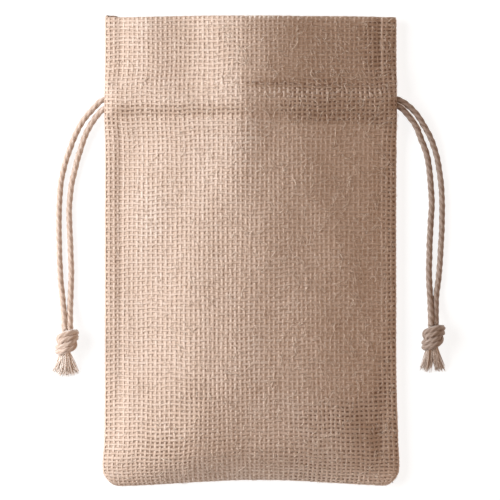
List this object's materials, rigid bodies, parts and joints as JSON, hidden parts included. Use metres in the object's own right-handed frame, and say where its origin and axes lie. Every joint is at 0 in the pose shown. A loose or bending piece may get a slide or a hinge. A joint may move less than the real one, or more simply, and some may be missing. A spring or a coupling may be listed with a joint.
{
  "type": "burlap drawstring sack",
  "caption": "Small burlap sack lying on its back, open at the mouth, with a stitched drawstring channel and a knotted jute drawstring bowing out from each side.",
  "frame": {"origin": "middle of the sack's outline, on the surface that its back lies on", "axes": "+Y along the sack towards its mouth, +X to the right as seen from the front, +Z out of the front, away from the surface"},
  "size_m": [0.1894, 0.228, 0.0297],
  "materials": {
    "burlap": "coarse plain weave, natural jute, matt",
    "jute_cord": "twisted jute cord, matt, hairy"
  },
  "bodies": {
    "root": {"sack_cloth": "burlap", "cord_left_casing": "jute_cord", "cord_left_outer": "jute_cord", "cord_left_inner": "jute_cord", "knot_left": "jute_cord", "cord_right_casing": "jute_cord", "cord_right_outer": "jute_cord", "cord_right_inner": "jute_cord", "knot_right": "jute_cord"}
  },
  "joints": []
}
